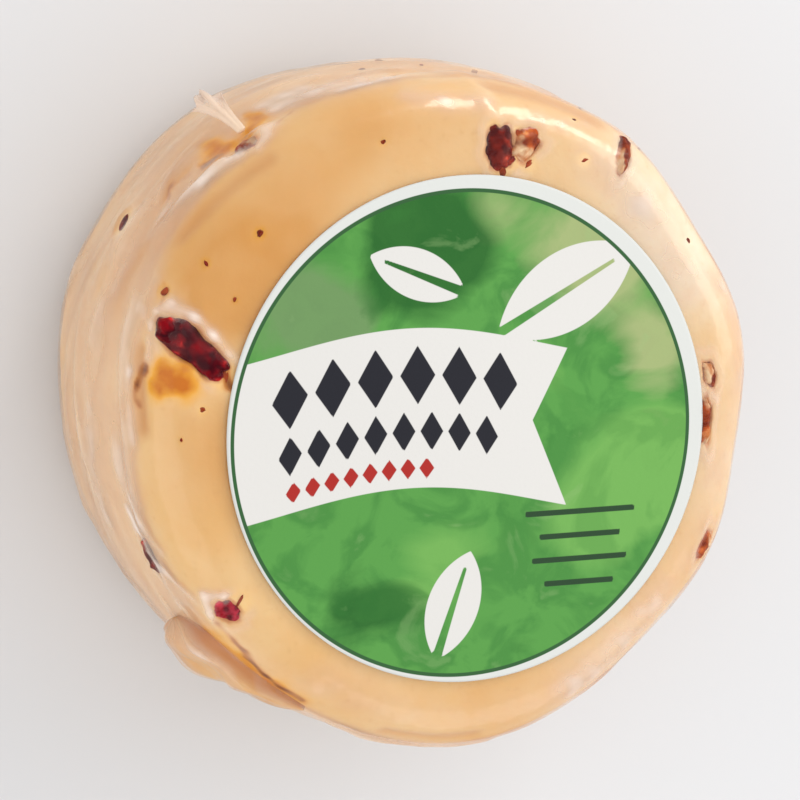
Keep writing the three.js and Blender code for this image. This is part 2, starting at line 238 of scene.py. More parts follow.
def walnut_seat(index, azimuth, level, long, wide, deep, turn, tone, showing):
    """Where a walnut piece sits, with its sizes. Its shifts are where the sines of its lobes and of its
    rim's waves start."""
    draws = even_draws(7 + 31 * index)
    place, outward, lengthwise, crosswise = laid_down(azimuth, level, turn)
    return SimpleNamespace(
        place=place, outward=outward, lengthwise=lengthwise, crosswise=crosswise,
        long=long, wide=wide, deep=deep, tone=tone, showing=showing,
        proud=WALNUT_PROUD + SHOWING_LIFT * (showing - 1),
        shifts=[2 * math.pi * next(draws) for _ in range(4 + len(RIM_WAVES))])


def rim_size(seat, angle):
    """How far out a walnut piece's rim lies, as a share of a plain oval: lobes, which are sines of the
    place on the rim, and smaller waves round it."""
    x, y = np.cos(angle), np.sin(angle)
    lobes = (
        np.sin(4 * x + seat.shifts[0]) * np.cos(3 * y + seat.shifts[1])
        + 0.7 * np.sin(6 * x + 4 * y + seat.shifts[2]) + 0.4 * np.cos(5 * y + seat.shifts[3]))
    starts = seat.shifts[4:]
    waves = sum(depth * np.sin(count * angle + start) for (count, depth), start in zip(RIM_WAVES, starts))
    square = (np.abs(x) ** RIM_SQUARENESS + np.abs(y) ** RIM_SQUARENESS) ** (-1 / RIM_SQUARENESS)
    return square * (RIM_SHARE + WALNUT_LOBES * lobes + waves)


def over_seat(points, seat):
    """Share of the way from the middle of a walnut piece to its rim, in the plane of the surface, and
    the distance past the rim in millimetres. Points far off along the normal count as far away."""
    offset = points - seat.place
    along = offset @ seat.lengthwise / (0.5 * seat.long)
    aside = offset @ seat.crosswise / (0.5 * seat.wide)
    off = offset @ seat.outward / (2 * seat.deep)
    share = np.sqrt(along**2 + aside**2 + off**2) / rim_size(seat, np.arctan2(aside, along))
    return share, (share - 1) * 0.5 * math.sqrt(seat.long * seat.wide)


SEATS = [walnut_seat(index, *piece) for index, piece in enumerate(ALL_WALNUTS)]


def full_turn(count):
    """A row of equal steps round a full turn, in degrees."""
    return np.linspace(0, 360, count, endpoint=False)[None, :]


def rows_of_levels(*stretches):
    """Levels for the rows of a grid: each stretch gives where it ends and how many rows it takes."""
    start = -BASE_RADIUS + 1.0
    levels = []
    for end, count in stretches:
        levels.append(np.linspace(start, end, count, endpoint=False))
        start = end
    return np.concatenate(levels)[:, None]


def closed_skin(name, rows, marks):
    """A closed mesh through rows of points, in millimetres from the wheel's axis. Each row joins up
    with itself, neighbouring rows share faces, and a fan from its middle shuts the first and last row.
    Several skins of one size can share the mesh. Marks are values at the points that a finish reads."""
    skins = rows.reshape(-1, *rows.shape[-3:])
    number, count, around = skins.shape[:3]
    here = np.arange(count * around).reshape(count, around)
    beside = np.roll(here, -1, axis=1)
    middle = np.full(around, count * around)
    starts = np.arange(number)[:, None, None] * (count * around + 2)
    quads = np.stack([here[:-1], beside[:-1], beside[1:], here[1:]], -1).reshape(-1, 4)
    quads = (quads + starts).reshape(-1, 4)
    fans = np.concatenate([
        np.stack([middle, beside[0], here[0]], -1), np.stack([here[-1], beside[-1], middle + 1], -1)])
    fans = (fans + starts).reshape(-1, 3)
    ends = skins[:, [0, -1]].mean(2)
    points = np.concatenate([skins.reshape(number, -1, 3), ends], axis=1).reshape(-1, 3)
    mesh = bpy.data.meshes.new(name)
    mesh.from_pydata(((points + WHEEL_AXIS) * MM).tolist(), [], quads.tolist() + fans.tolist())
    mesh.shade_smooth()
    for mark, values in marks.items():
        values = np.broadcast_to(values, (number, count, around))
        values = np.concatenate([values.reshape(number, -1), values[:, [0, -1]].mean(2)], axis=1)
        held = mesh.attributes.new(mark, "FLOAT", "POINT")
        held.data.foreach_set("value", values.ravel().astype(np.float32))
    made = bpy.data.objects.new(name, mesh)
    bpy.context.scene.collection.objects.link(made)
    return made


def shade(colour):
    """Linear colour of a shade given as red, green and blue from 0 to 255, as a screen shows them. A
    colour that a node works out stays as it is."""
    if isinstance(colour, bpy.types.NodeSocket):
        return colour
    return (*(((part / 255 + 0.055) / 1.055) ** 2.4 for part in colour), 1.0)


def new_finish(piece):
    """A finish of a piece's own, under its name, with an empty graph."""
    finish = bpy.data.materials.new(piece.name)
    finish.use_nodes = True
    finish.node_tree.nodes.clear()
    piece.data.materials.append(finish)
    return finish


def node(finish, kind, sockets=(), **settings):
    """One node of a finish. A socket's value is a number, a colour or another node's output."""
    made = finish.node_tree.nodes.new("ShaderNode" + kind)
    for setting, value in settings.items():
        setattr(made, setting, value)
    for socket, value in dict(sockets).items():
        if isinstance(value, bpy.types.NodeSocket):
            finish.node_tree.links.new(value, made.inputs[socket])
        else:
            made.inputs[socket].default_value = value
    return made


def surface(finish, kind, sockets):
    """Ends a finish with a shader."""
    node(finish, "OutputMaterial", {"Surface": node(finish, kind, sockets).outputs[0]})


def mottle(finish, scale, stretch=(1, 1, 1), detail=3.0, distortion=0.0):
    """Noise from 0 to 1 on the piece's own coordinates. Scale is in waves for each metre."""
    place = node(finish, "TexCoord").outputs["Object"]
    drawn_out = node(finish, "Mapping", {"Vector": place, "Scale": stretch}).outputs["Vector"]
    sockets = {"Vector": drawn_out, "Scale": scale, "Detail": detail, "Distortion": distortion}
    return node(finish, "TexNoise", sockets).outputs["Fac"]


def mark(finish, name):
    """A value that the mesh holds for each point."""
    return node(finish, "Attribute", attribute_name=name).outputs["Fac"]


def between(finish, value, low, high, to_low=0, to_high=1):
    """Stretches the range from low to high over the range from to_low to to_high, and keeps to it."""
    sockets = {"Value": value, "From Min": low, "From Max": high, "To Min": to_low, "To Max": to_high}
    return node(finish, "MapRange", sockets).outputs["Result"]


def paint(finish, colour, *coats):
    """Colours laid over one another. Each coat is its colour, its share or the name of the mark that
    gives it, and, where they aren't 0, 1 and 1, where the share starts and ends and how full it gets."""
    for ink, share, *stretch in coats:
        low, high, most = stretch + [0, 1, 1][len(stretch):]
        if isinstance(share, str):
            share = mark(finish, share)
        sockets = {0: between(finish, share, low, high, 0, most), 6: shade(colour), 7: shade(ink)}
        colour = node(finish, "Mix", sockets, data_type="RGBA").outputs[2]
    return colour


def reckon(finish, operation, first, second):
    """One sum, product or the like of two values."""
    return node(finish, "Math", {0: first, 1: second}, operation=operation).outputs["Value"]


def bumps(finish, height, depth, under=None):
    """Normal of a surface whose fine relief is a height from 0 to 1 times a depth in millimetres."""
    sockets = {"Height": height, "Strength": 1.0, "Distance": depth * MM}
    if under is not None:
        sockets["Normal"] = under
    return node(finish, "Bump", sockets).outputs["Normal"]


COVER = 0.35  # of the film's outside over the cheese
RIDGE_SHARE = 0.35  # how much of a ridge of the film the cheese follows
PIT_WALL = (0.66, 0.9)  # shares of a walnut piece's rim between which its pit falls away
PIT_DEPTH = 1.5
PIT_LIP = (0.5, 0.6, 0.12)  # distance past the rim, width and rise of the lip round a pit
BLEED_REACH = 0.45  # of a walnut piece's colour into the cheese
CURD_WAVES = ((0.09, 16, 5), (0.04, 6, 6))  # height, length and seed
LINE_WAVES = ((0.5, 3.5, 44),)  # which make the dark lines wander
RAGGED_REACH = 0.6  # of the waves that shift the edge of a stain
RAGGED_SEEDS = (41, 42, 43)


def near(points, azimuth, level, reach):
    """The bell of the distance to a place on the wheel."""
    place, _ = wheel_outside(azimuth, level)
    return bell(np.linalg.norm(points - place, axis=-1), reach)


def stained(points, places):
    """How deep in a list of stains each point lies, from 0 to 1: the sum of what each leaves there."""
    return np.clip(sum(strength * near(points, *place) for *place, strength in places), 0, 1)


def slow_waves(points, length, seed, count=9):
    """Gentle unevenness from about -1 to 1: a mean of sines along random directions."""
    draws = np.random.default_rng(seed)
    directions = draws.normal(size=(count, 3))
    directions /= np.linalg.norm(directions, axis=1)[:, None]
    lengths = length * draws.uniform(0.7, 1.6, count)
    phases = draws.uniform(0, 2 * math.pi, count)
    waves = np.sin(points @ (directions / lengths[:, None]).T * 2 * math.pi + phases)
    return waves.sum(-1) * math.sqrt(2 / count) * 0.6


def unevenness(points, waves):
    """Sum of slow waves, each with its height, length and seed."""
    return sum(height * slow_waves(points, length, seed) for height, length, seed in waves)


def ragged(points):
    """Points shifted by slow waves each way, so that what is measured at them gets a ragged edge."""
    return points + RAGGED_REACH * np.stack([slow_waves(points, 4, seed) for seed in RAGGED_SEEDS], -1)


# Where oil stains the cheese, where it is deeper amber, and where painted glare makes it almost white on
# its lit right side and near rim: azimuth, level, reach and strength.
OIL_STAINS = (
    (171.4, 61.2, 2.7, 1.2), (169.4, 64.2, 2.4, 0.5), (168.4, 67.2, 2.3, 0.4), (172.2, 64.6, 1.8, 0.4),
    (166.6, 61.6, 1.6, 0.4), (129.3, 49.6, 2.4, 0.8), (129.8, 46.2, 2.5, 0.8), (130, 42.8, 2.2, 0.6),
    (122.6, 50, 2.2, 0.7), (122, 46.6, 2.4, 0.8), (121.6, 43.6, 2, 0.6), (223, 52.5, 3.4, 0.8),
    (229, 54, 3.2, 0.8), (235, 56, 3, 0.8), (240, 56.5, 2.4, 0.6),
)
AMBER_PLACES = (
    (136, 68, 9, 0.8), (145, 74, 9, 0.9), (152, 66, 7, 0.7), (122, 66, 8, 0.6), (182, 69, 8, 0.6),
    (192, 72, 9, 0.45), (108, 62, 7, 0.75), (250, 66, 10, 0.2), (285, 68, 12, 0.25), (114, 51, 4, 0.6),
    (92, 64, 9, 0.3), (151, 67, 6, 0.6), (150, 71.5, 5, 0.8), (146, 50, 8, 0.8), (137, 43, 8, 0.7),
    (157, 44, 8, 0.6), (128, 36, 9, 0.5),
)
PAINTED_GLARE_PLACES = (
    (56, 61, 7, 0.35), (46, 63, 8, 0.6), (36, 63.5, 9, 0.8), (27.5, 63.5, 8, 0.7), (18, 59, 6, 0.25),
    (2, 59, 6, 0.25), (304, 61, 7, 0.45), (346, 62, 7, 0.3),
)
# Dark lines under creases of the film, partly oil and partly painted shade where the creases and the
# bunched film would shade the cheese: azimuth and level of both ends, width and strength.
OIL_AND_SHADE_LINES = [
    (130.6, 49.2, 133.6, 46.6, 0.7, 0.7), (134.5, 44.6, 138.5, 44, 0.7, 0.28),
    (138.4, 42.4, 141.6, 43.8, 0.7, 0.35), (169.4, 57.2, 172.6, 55.6, 0.7, 0.6),
    (172.6, 55.6, 176, 55.4, 0.6, 0.3), (219, 58.2, 226, 57.8, 0.75, 0.45),
    (226, 57.8, 233, 57.2, 0.8, 0.55), (233, 57.2, 241, 56.5, 0.8, 0.65),
    (117.5, 52.5, 121.5, 54.6, 0.6, 0.22), (155, 57.6, 159, 58.4, 0.5, 0.25),
    (143.5, 36.2, 146.5, 34, 0.6, 0.22), (166.4, 71.2, 170.8, 71.8, 0.7, 0.6),
]
# Painted light: the cheese is painted paler towards this azimuth, the side that the key and right lamps
# light.
LIT_SIDE_AZIMUTH = 28  # towards which the cheese is palest


def build_cheese():
    """The wheel's outside on a grid of levels and azimuths, set in under the film. It follows the
    film's creases, and part of its ridges, and falls away into a pit under each walnut piece."""
    levels = rows_of_levels(
        (-2, 8), (LOWER_ARC, 24), (WALL_END, 60), (FACE_LEVEL, 42), (FACE_LEVEL + 11, 34),
        (FACE_LEVEL + FACE_RADIUS - 1, 20))
    azimuths = full_turn(500)
    folds = folded(azimuths, levels)
    bare, _ = wheel_outside(azimuths, levels)
    relief = np.minimum(folds, 0) + RIDGE_SHARE * np.maximum(folds, 0) - COVER
    relief = relief + unevenness(bare, CURD_WAVES)
    lines = ridges(azimuths, levels + unevenness(bare, LINE_WAVES), OIL_AND_SHADE_LINES)
    lines = lines * (0.9 + 0.5 * slow_waves(bare, 3, 45))
    bleed = np.zeros_like(relief)
    for seat in SEATS:
        share, past = over_seat(bare, seat)
        relief -= PIT_DEPTH * (1 - ease(share / min(seat.showing, 1), *PIT_WALL))
        relief += PIT_LIP[2] * bell(past - PIT_LIP[0], PIT_LIP[1])
        bleed = np.maximum(bleed, bell(np.maximum(past, 0), BLEED_REACH))
    points, _ = wheel_outside(azimuths, levels, relief)
    points[..., 2] = np.maximum(points[..., 2], COVER)
    marks = {
        "bleed": bleed,
        "oil_and_shade": stained(ragged(bare), OIL_STAINS),
        "amber": stained(bare, AMBER_PLACES),
        # Painted glare, almost white, on the lit right side and near rim.
        "painted_glare": stained(bare, PAINTED_GLARE_PLACES),
        "pallor": 1 - ease(levels, 50, 58),
        # Painted light: paler towards the lit side.
        "painted_lit_side": ease(np.cos(np.radians(azimuths - LIT_SIDE_AZIMUTH)), -0.35, 1),
        # Partly oil and partly painted shade: the dark lines, and painted shade in every sunk crease of
        # the folds.
        "oil_and_crease_shade": np.clip(lines + 0.35 * np.clip(-folds, 0, 1), 0, 1),
    }
    return closed_skin("cheese", points, marks)


cheese = build_cheese()
finish = new_finish(cheese)
clouds = between(finish, mottle(finish, 55, detail=5, distortion=0.6), 0.35, 0.68)
flecks = between(finish, mottle(finish, 190, detail=4), 0.4, 0.7)
grain = mottle(finish, 900, detail=3)
warm = reckon(finish, "MULTIPLY", mark(finish, "amber"), between(finish, clouds, 0, 1, 0.7, 1))
stain = reckon(finish, "MULTIPLY", mark(finish, "oil_and_shade"), between(finish, flecks, 0, 1, 1.5, 0.65))
# Painted light among these coats: paler towards the lit side, painted glare there, and the partly painted
# shade of the dark crease lines.
colour = paint(
    finish, (247, 207, 146), ((243, 195, 122), clouds), ((246, 208, 154), "painted_lit_side"),
    ((252, 216, 168), "pallor", 0, 1, 0.75), ((253, 236, 208), "painted_glare"), ((223, 155, 54), warm),
    ((238, 180, 100), flecks, 0, 1, 0.25), ((246, 178, 50), stain, 0.05, 0.6),
    ((206, 112, 0), stain, 0.45, 1.2), ((220, 162, 90), grain, 0.6, 0.75, 0.2),
    ((196, 100, 62), "bleed", 0.3, 1, 0.55), ((212, 138, 62), "oil_and_crease_shade", 0.02, 0.4),
    ((122, 52, 6), "oil_and_crease_shade", 0.25, 1))
surface(finish, "BsdfPrincipled", {
    "Base Color": colour, "Roughness": between(finish, grain, 0.3, 0.7, 0.38, 0.52),
    "Specular IOR Level": 0.12, "Coat Weight": 0.25, "Coat Roughness": 0.28, "Subsurface Weight": 0.12,
    "Subsurface Radius": (1.0, 0.6, 0.3), "Subsurface Scale": 2.2 * MM,
    "Normal": bumps(finish, mottle(finish, 420, detail=4), 0.12)})
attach(cheese, "root")
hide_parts("cheese_wheel")


# ---- the walnut pieces ----
# Broken kernels of walnut kneaded into the curd. The papery skin has gone dark maroon to red brown in
# the cheese, and broken faces show tan flesh. Each sits in its pit, just proud of the surface.

BLUNTNESS = 1.25
FLATNESS = 0.75  # power of its height, which is 1 for a plain ball
FLESH_CUT = 0.6
CRAG_HEIGHT = 0.13
CRAG_LENGTHS = (4.6, 3.4, 2.5, 1.8, 1.3, 0.9)


def ball_grid(tip, rows, spokes):
    """The two angles of a ball's points, on rows that start a little from its tip, and the points' x
    along it, y across it and z through it."""
    along = np.linspace(tip, math.pi - tip, rows)[:, None]
    around = np.radians(full_turn(spokes))[:, ::-1]
    x, y, z = np.cos(along) + 0 * around, np.sin(along) * np.cos(around), np.sin(along) * np.sin(around)
    return along, around, x, y, z


def build_walnut(name, seat, index):
    """A flattened ball of three half axes, drawn out to the piece's rim, its ends blunted by a tanh.
    Ridged waves, one minus twice the size of a sine, stand it up in crags, and two sides are broken
    flat."""
    _, _, x, y, z = ball_grid(0.06, 60, 90)
    rim = rim_size(seat, np.arctan2(y, x))
    flat = np.sign(z) * np.abs(z) ** FLATNESS
    blunt = np.tanh(BLUNTNESS * x * rim) / math.tanh(BLUNTNESS)
    ball = np.stack([blunt * seat.long, y * rim * seat.wide, flat * seat.deep], -1) * 0.5

    rough = np.random.default_rng(60 + index)
    crags = np.zeros_like(x)
    for length in CRAG_LENGTHS:
        heading = rough.normal(size=3)
        heading /= np.linalg.norm(heading)
        start = rough.uniform(0, 2 * math.pi)
        bend = 0.8 * np.sin(ball @ rough.normal(size=3) * 1.1)
        ridge = np.abs(np.sin(ball @ heading * math.pi / length + start + bend))
        crags += length / CRAG_LENGTHS[0] * (1 - 2 * ridge)
    ball += (CRAG_HEIGHT * crags)[..., None] * np.stack([x, y, z], -1)

    flesh = np.zeros_like(x)
    for side in range(2):
        cut = rough.normal(size=3) * (1, 0.8, 0.3)
        cut[2] = abs(cut[2]) + 0.35
        cut /= np.linalg.norm(cut)
        reach = x * cut[0] + y * cut[1] + z * cut[2] + 0.06 * crags
        flesh = np.maximum(flesh, ease(reach, FLESH_CUT + 0.06 * side, FLESH_CUT + 0.2))
        ball -= (np.maximum(reach - 0.8, 0) * 0.3 * seat.deep)[..., None] * cut
    ball[..., 2] = np.minimum(ball[..., 2], 0.5 * seat.deep * 1.05)

    middle = seat.place + seat.outward * (seat.proud - seat.deep / 2)
    points = middle + ball @ np.stack([seat.lengthwise, seat.crosswise, seat.outward])
    marks = {"flesh": flesh * ease(seat.tone, 0.25, 0.8), "crag": 0.5 + 0.25 * crags, "tone": seat.tone}
    return closed_skin(name, points, marks)


def walnut_finish(piece):
    """Skin from maroon to orange brown by the piece's tone, darker between its crags, with redder
    patches, and tan flesh where it is broken."""
    finish = new_finish(piece)
    clouds = mottle(finish, 420, detail=5, distortion=0.4)
    tone = mark(finish, "tone")
    dark = paint(finish, (60, 0, 14), ((126, 40, 12), tone))
    light = paint(finish, (134, 4, 18), ((204, 98, 40), tone))
    patch = paint(finish, (206, 44, 40), ((230, 156, 88), tone))
    berry = paint(finish, (150, 6, 26), ((226, 66, 88), clouds, 0.38, 0.62))
    tan = paint(finish, (246, 212, 168), ((196, 116, 62), clouds, 0.42, 0.62))
    colour = paint(
        finish, dark, (light, clouds, 0.38, 0.58), (patch, clouds, 0.6, 0.68), (berry, tone, 0, -1),
        (dark, "crag", 0.5, 0, 0.8), (tan, "flesh"))
    surface(finish, "BsdfPrincipled", {
        "Base Color": colour, "Roughness": between(finish, clouds, 0.3, 0.7, 0.2, 0.4),
        "Specular IOR Level": 0.06, "Normal": bumps(finish, mottle(finish, 1300, detail=4), 0.14)})


for index, seat in enumerate(SEATS):
    name = f"walnut_piece_{index + 1:02d}"
    walnut = build_walnut(name, seat, index)
    walnut_finish(walnut)
    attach(walnut, "root")
    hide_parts(f"walnut_{index + 1:02d}")


# ---- the walnut crumbs ----
# Flecks of walnut skin that the knife left in the curd. They show through the film as freckles, and a
# larger one lies in a hole in the wall.

# Azimuth, level, length, width and turn of each crumb that the front shows.
NEAR_CRUMBS = [
    (138, 67.1, 1.2, 1, 20), (106.5, 66.2, 0.8, 0.6, 0), (148.5, 62.6, 1, 0.6, 60),
    (176, 67.8, 1, 0.8, 100), (33, 61.8, 1, 0.7, 0), (66, 60.1, 0.8, 0.6, 0), (156, 58.5, 1.4, 0.9, 150),
    (147.5, 33.1, 3.2, 2.4, 35), (217, 63.6, 2.2, 0.5, 120), (152, 69.4, 0.7, 0.5, 0),
    (182, 64, 0.6, 0.5, 0), (9, 71.4, 1.5, 0.7, 80), (352, 71, 1.2, 0.6, 30), (62, 66.4, 1.3, 0.7, 40),
    (168.6, 71.4, 2.8, 0.9, 12), (78, 70.4, 1.9, 1.2, 50), (79.6, 72.2, 1.7, 1, 110),
    (73.6, 70.2, 1.6, 0.8, 65), (83, 65.6, 1.4, 0.8, 30), (77.6, 65.8, 1.3, 0.8, 140),
]
# Crumbs of the side turned away: seed, count, azimuths, the part of its share that each keeps within,
# and the ranges of length, level, width as a share of length, and turn.
FAR_CRUMBS = (3307, 34, (-90, 100), (0, 1), (0.6, 1.8), (10, 56), (0.5, 0.9), (0, 180))
ALL_CRUMBS = NEAR_CRUMBS + [
    (azimuth, level, length, length * slimness, turn)
    for azimuth, length, level, slimness, turn in spread_round(*FAR_CRUMBS)]
CRUMB_SINK = 0.42  # of a crumb's middle under the film's outside
CRUMB_HALF_DEPTH = 0.32


def build_crumbs():
    """Flattened balls that lie along the surface. Their radius is 1 plus sines of the way round them,
    and each ball's sines have a start of their own."""
    azimuth, level, long, wide, turn = np.array(ALL_CRUMBS).T
    along, spin, x, y, z = ball_grid(0.25, 9, 14)
    start = 2.4 * np.arange(len(level))[:, None, None]
    bump = 1 + 0.2 * np.sin(2 * spin + start) * np.sin(along)
    bump = bump + 0.14 * np.sin(3 * along + 3 * spin + 1.7 * start)
    place, outward, lengthwise, crosswise = (
        way[:, None, None] for way in laid_down(azimuth, level, turn, -CRUMB_SINK))
    half_long, half_wide = (0.5 * size[:, None, None] for size in (long, wide))
    points = place + (half_long * bump * x)[..., None] * lengthwise
    points = points + (half_wide * bump * y)[..., None] * crosswise
    points = points + (CRUMB_HALF_DEPTH * bump * z)[..., None] * outward
    marks = {"flesh": 0, "crag": 0.1 + 0.2 * bump, "tone": 0.42 + 0.25 * np.sin(start)}
    return closed_skin("walnut_crumbs", points, marks)


crumbs = build_crumbs()
walnut_finish(crumbs)
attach(crumbs, "root")
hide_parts("cheese_wheel")


# ---- the film ----
# Clear shrink film, drawn tight by vacuum and heat. It lies close on the face, and on the wall it
# gathers in fine wrinkles that run round the wheel and look milky where it stands off the cheese.

WRINKLE_COUNT = 150
WRINKLE_LEVELS = (8, 56)
WRINKLE_SPANS = (4, 16)
WRINKLE_LEAN = 1.8  # which two in three keep within
WRINKLE_RISES = (0.06, 0.19)
WRINKLE_WIDTHS = (0.8, 2)
FILM_BRIDGE = (0.3, 0.8)  # rise of the film over a walnut piece, and its spread as a share of the rim
FILM_MIRROR = 0.06  # share of the light that clear film turns back
SLANT_MIRROR = 0.35  # what is added to it at a slant
TOUCHING_MIRROR = 0.15  # share of both that is left where the film lies on oil or walnut
MILK_COVER = 0.85  # of what is behind the milkiest film
MOAT = (0.25, 0.5, 0.14)  # distance past a walnut piece's rim, width and depth of the dip round it
RING = (1.3, 0.8, 0.1, 0.32)  # distance past the rim, width, rise and milkiness of the ring round that
FILM_WAVES = ((0.07, 9, 12), (0.02, 4, 13))  # height, length and seed
WALL_HAZE = 0.28  # how milky the film of the wall is, apart from its waves
HAZE_WAVES = ((0.12, 18, 8), (0.07, 7, 9))

# Level where the milky film of the wall meets the clear film of the face, by azimuth.
CLEAR_EDGE = np.array([
    (20, 57), (60, 57), (84, 53), (98, 45), (108, 48), (116, 49), (123, 54), (130, 57.6), (136.5, 55.4),
    (140.5, 55.8), (146, 56.2), (157.5, 58.2), (169.5, 55.8), (179.5, 57), (192, 54.6), (205, 51.5),
    (212, 55.5), (219, 56), (242, 56.5), (262, 58.5), (300, 57.5), (340, 57.5),
])
# Film that lies double or stands off, and wide bands along the face's rim on the lit right and near side
# that are painted glare: azimuth and level of both ends, width and milkiness.
MILK_AND_GLARE_BANDS = [
    (129.5, 55.8, 136.5, 52.4, 1.2, 0.3), (136.5, 52.4, 143.5, 46, 1.9, 0.26),
    (122, 55.6, 126.5, 57.4, 1, 0.4), (167.6, 57.8, 171, 54.2, 0.7, 0.35), (171, 54.2, 183, 55, 1, 0.25),
    (162.5, 58, 159.5, 58.4, 0.7, 0.4), (159.5, 58.4, 157.6, 60.4, 0.8, 0.35),
    (157.6, 60.4, 158.6, 64.4, 1, 0.4), (158.6, 64.4, 160.4, 68, 0.9, 0.5),
    (160.4, 68, 163.2, 71, 1, 0.35), (163.2, 71, 166.5, 72.4, 0.8, 0.25), (165, 58, 168, 58.9, 0.8, 0.35),
    (196, 46, 204, 49.6, 0.8, 0.5), (204, 49.6, 213, 56.4, 0.9, 0.45), (194, 49.5, 203, 54.6, 0.9, 0.35),
    (152, 44, 166, 40, 2.4, 0.2), (178, 38, 200, 34, 2.8, 0.25), (186, 48, 196, 47, 2, 0.2),
    (112, 44, 124, 43, 2, 0.3), (212.6, 59.2, 214.4, 62.2, 0.9, 0.55),
    (212.6, 59.2, 216.5, 58.4, 0.8, 0.5), (214.4, 62.2, 216.4, 63.4, 0.7, 0.35),
    (98, 51, 108, 53, 1.5, 0.25), (60, 65.8, 46, 66.2, 3.6, 0.26), (46, 66.2, 26, 66.2, 3.9, 0.4),
    (294, 62, 316, 63, 3.8, 0.5), (346, 62.5, 358, 61.5, 3.4, 0.15),
    (242, 63.5, 292, 63.5, 4, 0.12), (322, 64, 346, 64, 3.6, 0.15), (99, 59.6, 92, 61.6, 1.5, 0.3),
    (92, 61.6, 84, 61.6, 1.6, 0.35), (75.5, 62.4, 69, 62.6, 1.4, 0.25), (69, 62.6, 63.5, 60.2, 1.2, 0.25),
    (117, 48, 99, 51, 3.6, 0.42), (22, 59.5, 4, 59.5, 3.2, 0.4),
]


def fine_wrinkles():
    """Short ridges that run round the wall, at places drawn with an even chance, leaning a little."""
    draws = np.random.default_rng(31)
    folds = []
    for _ in range(WRINKLE_COUNT):
        azimuth, level = draws.uniform(0, 360), draws.uniform(*WRINKLE_LEVELS)
        ends = azimuth + draws.uniform(*WRINKLE_SPANS), level + draws.normal(0, WRINKLE_LEAN)
        rise = draws.uniform(*WRINKLE_RISES)
        folds.append((azimuth, level, *ends, draws.uniform(*WRINKLE_WIDTHS), rise))
    return folds


def build_film():
    """The wheel's outside with every fold and wrinkle at full height. Over a walnut piece it rises,
    sinks in a moat past the rim and rises again in a soft ring, as film does over a lump."""
    levels = rows_of_levels(
        (-2, 7), (LOWER_ARC, 30), (WALL_END, 84), (FACE_LEVEL, 44), (FACE_LEVEL + 10, 28),
        (FACE_LEVEL + FACE_RADIUS - 1, 18))
    azimuths = full_turn(460)
    folds = folded(azimuths, levels)
    wrinkles = on_wall(levels) * ridges(azimuths, levels, fine_wrinkles())
    bare, _ = wheel_outside(azimuths, levels)
    relief = folds + wrinkles + unevenness(bare, FILM_WAVES)
    uneven = 0.5 + 0.5 * slow_waves(bare, 3.5, 21)
    haze_and_glare = 0.5 * np.clip(wrinkles, 0, 0.3)
    white = ridges(azimuths, levels, MILK_AND_GLARE_BANDS) * (0.7 + 0.5 * uneven)
    white += 0.25 * np.clip(folds, 0, 1) + haze_and_glare
    touching = np.zeros_like(relief)
    for seat in SEATS:
        share, past = over_seat(bare, seat)
        relief += (seat.proud + FILM_BRIDGE[0]) * np.exp(-((share / FILM_BRIDGE[1]) ** 3))
        relief -= MOAT[2] * bell(past - MOAT[0], MOAT[1])
        ring = bell(past - RING[0], RING[1]) * np.clip(0.5 + 0.4 * uneven, 0, 1)
        relief += RING[2] * ring
        white += RING[3] * ring
        touching = np.maximum(touching, 1 - ease(share, 0.85, 1.15))
    points, _ = wheel_outside(azimuths, levels, relief)
    points[..., 2] = np.maximum(points[..., 2], 0)
    edge = np.interp(azimuths, CLEAR_EDGE[:, 0], CLEAR_EDGE[:, 1], period=360)
    wall_haze = (WALL_HAZE + unevenness(bare, HAZE_WAVES)) * (1 - 0.5 * stained(bare, AMBER_PLACES))
    over_oil_and_shade = np.maximum(stained(ragged(bare), OIL_STAINS), ridges(azimuths, levels, OIL_AND_SHADE_LINES))
    over_oil_and_shade = np.clip(1.4 * over_oil_and_shade, 0, 1)
    for azimuth, level, length, *_ in NEAR_CRUMBS:
        touching = np.maximum(touching, 1 - ease(near(bare, azimuth, level, length), 0.7, 0.2))
    # The milkiness takes in the bands of painted glare.
    haze_and_glare = np.clip(haze_and_glare + white + (1 - ease(levels - edge, -2.5, 0.8)) * wall_haze, 0, 1)
    # In sunk creases the milk is taken out, so that the painted crease shade of the cheese shows through.
    haze_and_glare = haze_and_glare * (1 - 0.9 * touching) * (1 - 0.85 * over_oil_and_shade) * (1 - 0.8 * np.clip(-2 * folds, 0, 1))
    touching = np.maximum(touching, 0.9 * over_oil_and_shade)
    return closed_skin("film_wrap", points, {"haze_and_glare": haze_and_glare, "white": 1.8 * white, "touching": touching})


